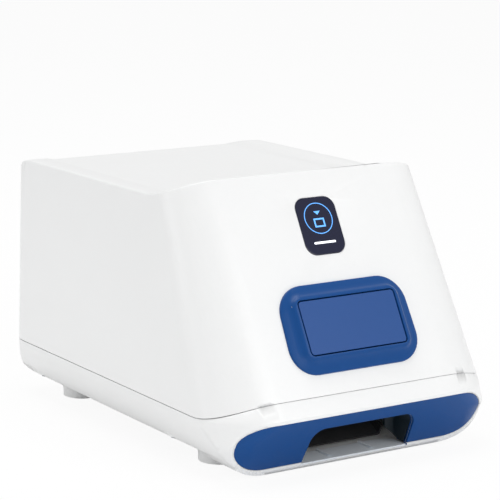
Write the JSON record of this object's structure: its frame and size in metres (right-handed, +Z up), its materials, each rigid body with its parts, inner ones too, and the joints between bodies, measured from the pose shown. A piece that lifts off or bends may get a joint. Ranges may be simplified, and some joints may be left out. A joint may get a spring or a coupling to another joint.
{
  "type": "phosphor plate scanner",
  "caption": "Desktop dental plate scanner: white wedge housing with sprung front flap, status window and nose tray, and the plate feed, carriage and laser optics inside.",
  "frame": {"origin": "middle of the footprint on the table", "axes": "+Z up, the slanted front faces -Y, +X to the right seen from the front"},
  "size_m": [0.15, 0.214, 0.1257],
  "materials": {
    "white_plastic": "satin gloss",
    "blue_plastic": "satin",
    "flap_plastic": "satin",
    "hood_plastic": "matt",
    "tray_plastic": "satin",
    "window_black": "polished",
    "lit_blue": "lit",
    "lit_white": "lit",
    "pad_rubber": "matt",
    "roller_rubber": "matt",
    "belt_rubber": "matt",
    "steel": "brushed",
    "rod_chrome": "polished",
    "brass": "turned",
    "aluminium": "milled",
    "black_metal": "satin black",
    "black_plastic": "fine grain",
    "panel_plastic": "fine grain",
    "board_green": "solder mask",
    "clear_glass": "clear",
    "mirror": "front surface"
  },
  "bodies": {
    "housing": {"upper_shell": "white_plastic", "base_shell": "white_plastic", "foot_pads": "pad_rubber", "nose_fascia": "blue_plastic", "exit_hood": "hood_plastic", "receiving_tray": "tray_plastic", "flap_bezel": "blue_plastic", "flap_pin": "steel", "flap_spring": "steel", "status_window": "window_black", "status_mark": "lit_blue", "status_bar": "lit_white", "status_board": "board_green", "chassis_plate": "steel", "side_frames": "steel", "roller_bearings": "brass", "feed_chute": "black_plastic", "feed_motor": "black_metal", "feed_belt": "belt_rubber", "guide_rods": "rod_chrome", "front_block": "aluminium", "rear_block": "aluminium", "screw_motor": "black_metal", "exit_ramp": "black_plastic", "optics_bench": "aluminium", "polygon_motor": "black_metal", "laser_module": "brass", "scan_lens": "clear_glass", "fold_mirror": "mirror", "mirror_mounts": "aluminium", "photomultiplier": "black_metal", "tube_saddle": "aluminium", "light_guide": "clear_glass", "eraser_lamp": "board_green", "main_board": "board_green", "board_standoffs": "brass", "rear_panel": "panel_plastic", "power_inlet": "black_plastic", "data_port": "steel", "switch_body": "black_plastic", "shell_screws": "steel", "chassis_screws": "steel"},
    "insert_door": {"insert_flap": "flap_plastic"},
    "carriage": {"plate_carriage": "black_plastic", "carriage_nut": "brass"},
    "bed": {"plate_bed": "aluminium"},
    "screw": {"lead_screw": "steel"},
    "feed": {"feed_roller": "roller_rubber"},
    "pinch": {"pinch_roller": "roller_rubber"},
    "motor_pulley": {"drive_pulley": "aluminium"},
    "polygon": {"polygon_mirror": "mirror"},
    "rocker": {"power_rocker": "black_plastic"}
  },
  "joints": [
    {"name": "flap_hinge", "type": "hinge", "parent": "housing", "child": "insert_door", "pos_m": [0, -0.08495, 0.07142], "axis": [1, 0, 0], "range_deg": [0, 80], "stiffness_Nm_per_rad": 0.004, "springref_deg": -22.92},
    {"name": "carriage_slide", "type": "slide", "parent": "housing", "child": "carriage", "axis": [0, 1, 0], "range_m": [0, 0.06]},
    {"name": "lead_screw_turn", "type": "hinge", "parent": "housing", "child": "screw", "pos_m": [0.0385, 0, 0.04], "axis": [0, 1, 0], "range_deg": [0, 2702]},
    {"name": "bed_tilt", "type": "hinge", "parent": "carriage", "child": "bed", "pos_m": [0, 0.004, 0.045], "axis": [1, 0, 0], "range_deg": [0, 24]},
    {"name": "feed_roller_turn", "type": "hinge", "parent": "housing", "child": "feed", "pos_m": [0, -0.056, 0.042], "axis": [1, 0, 0], "continuous": true},
    {"name": "pinch_roller_turn", "type": "hinge", "parent": "housing", "child": "pinch", "pos_m": [0, -0.056, 0.0524], "axis": [1, 0, 0], "continuous": true},
    {"name": "drive_pulley_turn", "type": "hinge", "parent": "housing", "child": "motor_pulley", "pos_m": [0, -0.034, 0.0253], "axis": [1, 0, 0], "continuous": true},
    {"name": "polygon_turn", "type": "hinge", "parent": "housing", "child": "polygon", "pos_m": [0, 0.064, 0.086], "axis": [0, 0, 1], "continuous": true},
    {"name": "rocker_tilt", "type": "hinge", "parent": "housing", "child": "rocker", "pos_m": [-0.033, 0.09927, 0.04927], "axis": [-1, 0, 0], "range_deg": [0, 20]}
  ],
  "couplings": [
    {"joint": "lead_screw_turn", "follows": "carriage_slide", "rad_per_m": 785.4},
    {"joint": "pinch_roller_turn", "follows": "feed_roller_turn", "ratio": -1.5},
    {"joint": "drive_pulley_turn", "follows": "feed_roller_turn", "ratio": 1}
  ]
}
